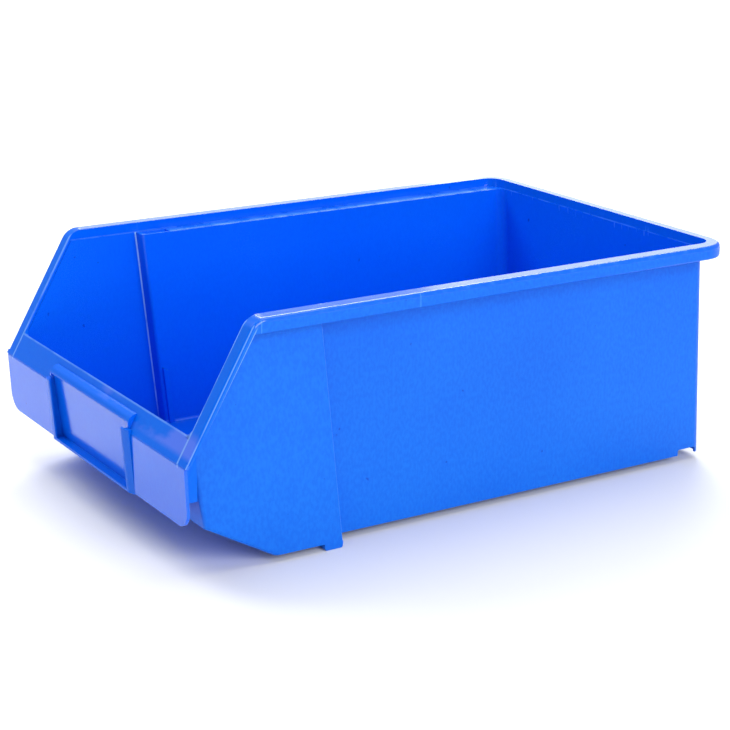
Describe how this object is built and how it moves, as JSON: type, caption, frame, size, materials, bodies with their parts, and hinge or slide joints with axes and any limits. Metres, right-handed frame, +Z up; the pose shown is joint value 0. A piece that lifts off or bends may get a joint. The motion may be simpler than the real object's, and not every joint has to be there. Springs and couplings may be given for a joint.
{
  "type": "stackable storage bin",
  "caption": "Open-fronted stackable picking bin in moulded blue plastic, with stepped side walls, a sloped front opening, a stacking rim and a front apron with a label holder.",
  "frame": {"origin": "middle of the overall footprint, at ground level under the stacking feet", "axes": "+Z up, -Y towards the open front, +X to the right-hand side wall when the front is at the bottom of a plan view"},
  "size_m": [0.3, 0.4474, 0.171],
  "materials": {
    "blue_plastic": "semi-gloss moulded polypropylene, lightly scuffed"
  },
  "bodies": {
    "root": {"rear_floor": "blue_plastic", "front_floor": "blue_plastic", "toe_panel": "blue_plastic", "front_wall": "blue_plastic", "front_lip": "blue_plastic", "left_apron": "blue_plastic", "right_apron": "blue_plastic", "left_apron_gusset": "blue_plastic", "right_apron_gusset": "blue_plastic", "label_panel": "blue_plastic", "label_shelf": "blue_plastic", "label_hood": "blue_plastic", "left_label_guide": "blue_plastic", "right_label_guide": "blue_plastic", "left_front_side": "blue_plastic", "right_front_side": "blue_plastic", "left_step": "blue_plastic", "right_step": "blue_plastic", "left_rear_side": "blue_plastic", "right_rear_side": "blue_plastic", "left_rear_corner": "blue_plastic", "right_rear_corner": "blue_plastic", "rear_wall": "blue_plastic", "left_ledge": "blue_plastic", "right_ledge": "blue_plastic", "left_rim": "blue_plastic", "right_rim": "blue_plastic", "rear_rim": "blue_plastic", "left_slope_rim": "blue_plastic", "right_slope_rim": "blue_plastic", "left_guide_rib": "blue_plastic", "right_guide_rib": "blue_plastic", "left_foot": "blue_plastic", "right_foot": "blue_plastic"}
  },
  "joints": []
}
